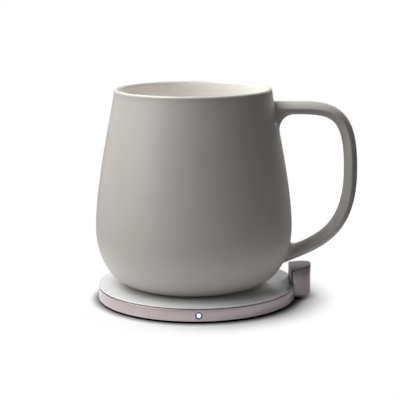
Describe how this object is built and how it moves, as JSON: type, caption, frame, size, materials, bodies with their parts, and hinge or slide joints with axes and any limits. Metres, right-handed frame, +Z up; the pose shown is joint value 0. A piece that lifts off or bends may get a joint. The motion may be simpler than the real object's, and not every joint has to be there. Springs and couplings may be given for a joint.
{
  "type": "self heating mug",
  "caption": "Pot-bellied ceramic mug with a strap handle, standing on a low round powered warmer that has a half-round post under the handle.",
  "frame": {"origin": "on the warmer's axis, at the table", "axes": "+Z up, +X towards the mug's handle and the warmer's post, and -Y towards the side with the status light"},
  "size_m": [0.1316, 0.1, 0.1064],
  "materials": {
    "stoneware_glaze": "matt warm grey glaze outside, cream glaze inside",
    "rose_grey_anodised": "satin rose-grey anodising",
    "pale_plate": "pale grey, half gloss",
    "dark_moulding": "matt black moulding",
    "grey_moulding": "matt grey moulding",
    "black_rubber": "matt black",
    "seal_silicone": "grey silicone",
    "enamelled_copper": "enamelled copper wire",
    "ferrite": "dark grey ferrite",
    "steel": "bright steel",
    "circuit_board": "green solder mask",
    "chip_resin": "matt black resin",
    "capacitor_ceramic": "tan ceramic",
    "insulating_pad": "pale fibre felt",
    "light_lens": "clear, lit blue-white"
  },
  "bodies": {
    "warmer": {"top_plate": "pale_plate", "outer_ring": "rose_grey_anodised", "base_tray": "dark_moulding", "rubber_foot": "black_rubber", "tray_screw_1": "steel", "tray_screw_2": "steel", "tray_screw_3": "steel", "tray_screw_4": "steel", "ferrite_disc": "ferrite", "transmitter_coil": "enamelled_copper", "thermistor": "capacitor_ceramic", "main_board": "circuit_board", "controller_chip": "chip_resin", "driver_chip": "chip_resin", "filter_inductor": "chip_resin", "resonance_capacitor_1": "capacitor_ceramic", "resonance_capacitor_2": "capacitor_ceramic", "resonance_capacitor_3": "capacitor_ceramic", "resonance_capacitor_4": "capacitor_ceramic", "status_led": "light_lens", "led_lens": "light_lens", "led_bezel": "black_rubber", "post_core": "grey_moulding", "post_shell": "rose_grey_anodised", "post_board": "circuit_board", "usb_c_receptacle": "steel"},
    "mug": {"mug_body": "stoneware_glaze", "mug_handle": "stoneware_glaze", "heating_plate": "steel", "heat_shield_pad": "insulating_pad", "mug_base_cover": "grey_moulding", "base_seal": "seal_silicone"}
  },
  "joints": [
    {"name": "mug_lift", "type": "slide", "parent": "warmer", "child": "mug", "axis": [0, 0, 1], "range_m": [0, 0.15]}
  ]
}
